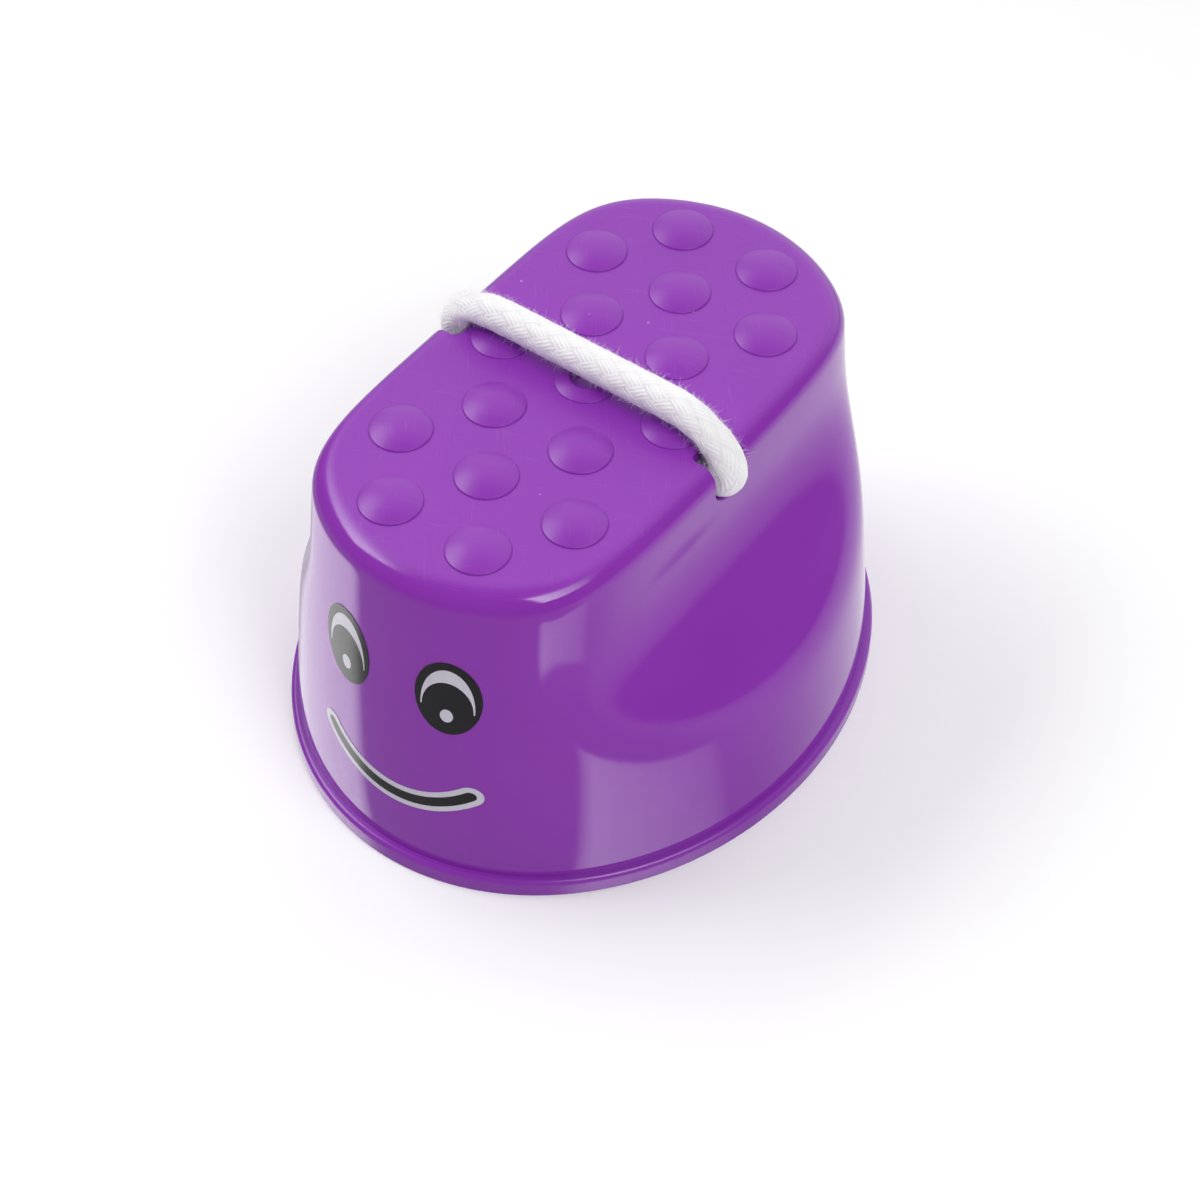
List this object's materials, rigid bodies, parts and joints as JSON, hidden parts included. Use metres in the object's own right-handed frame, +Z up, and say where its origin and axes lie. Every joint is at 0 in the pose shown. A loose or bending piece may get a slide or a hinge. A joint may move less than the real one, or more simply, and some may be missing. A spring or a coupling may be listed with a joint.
{
  "type": "cup stilt",
  "caption": "Moulded plastic cup stilt with a studded tread, scooped sides, a printed smiling face, and a rope over the tread that goes in through notches at the sides.",
  "frame": {"origin": "middle of the rim's underside, on the floor that the stilt stands on", "axes": "+X across the cup, +Y along it away from the printed face, +Z up"},
  "size_m": [0.093, 0.11, 0.0706],
  "materials": {
    "purple_plastic": "glossy moulded polypropylene",
    "white_rope": "soft braided cotton",
    "white_tie": "flat woven tape",
    "black_ink": "printed ink under the gloss of the wall",
    "white_ink": "printed ink under the gloss of the wall"
  },
  "bodies": {
    "root": {"cup": "purple_plastic", "rope_run": "white_rope", "rope_coil": "white_rope", "left_knot": "white_rope", "end_knot": "white_rope", "coil_tie": "white_tie", "left_eye_black": "black_ink", "left_eye_white": "white_ink", "right_eye_black": "black_ink", "right_eye_white": "white_ink", "mouth_black": "black_ink", "mouth_white": "white_ink"}
  },
  "joints": []
}
